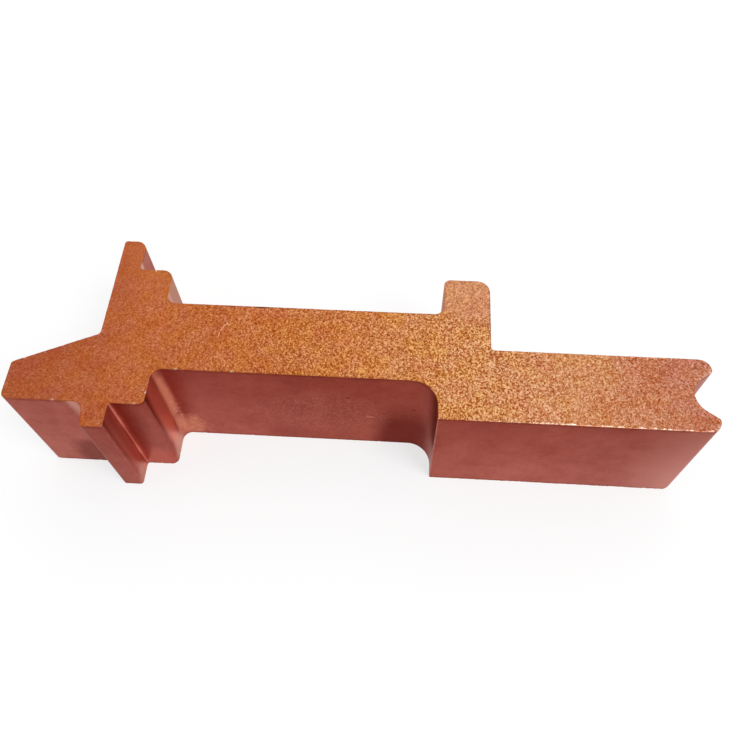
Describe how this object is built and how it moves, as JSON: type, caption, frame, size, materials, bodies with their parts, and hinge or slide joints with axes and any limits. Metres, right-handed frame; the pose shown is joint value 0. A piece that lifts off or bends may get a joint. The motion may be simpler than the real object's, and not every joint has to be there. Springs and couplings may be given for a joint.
{
  "type": "copper profile",
  "caption": "Short sawn length of a solid extruded copper section: a plate with an end groove and a rib, a straight neck, and a head with a pointed arm, a vee, a horn and a tooth.",
  "frame": {"origin": "middle of the outer box, on the lower sawn end", "axes": "+X along the section from the pointed arm to the grooved end of the plate, +Y from the side with the tooth to the side with the horn and the rib, +Z along the extrusion, up from the lower sawn end"},
  "size_m": [0.105, 0.034, 0.0228],
  "materials": {
    "copper": "bare copper, matt grained sawn ends and satin red-brown extruded sides"
  },
  "bodies": {
    "root": {"copper_profile": "copper"}
  },
  "joints": []
}
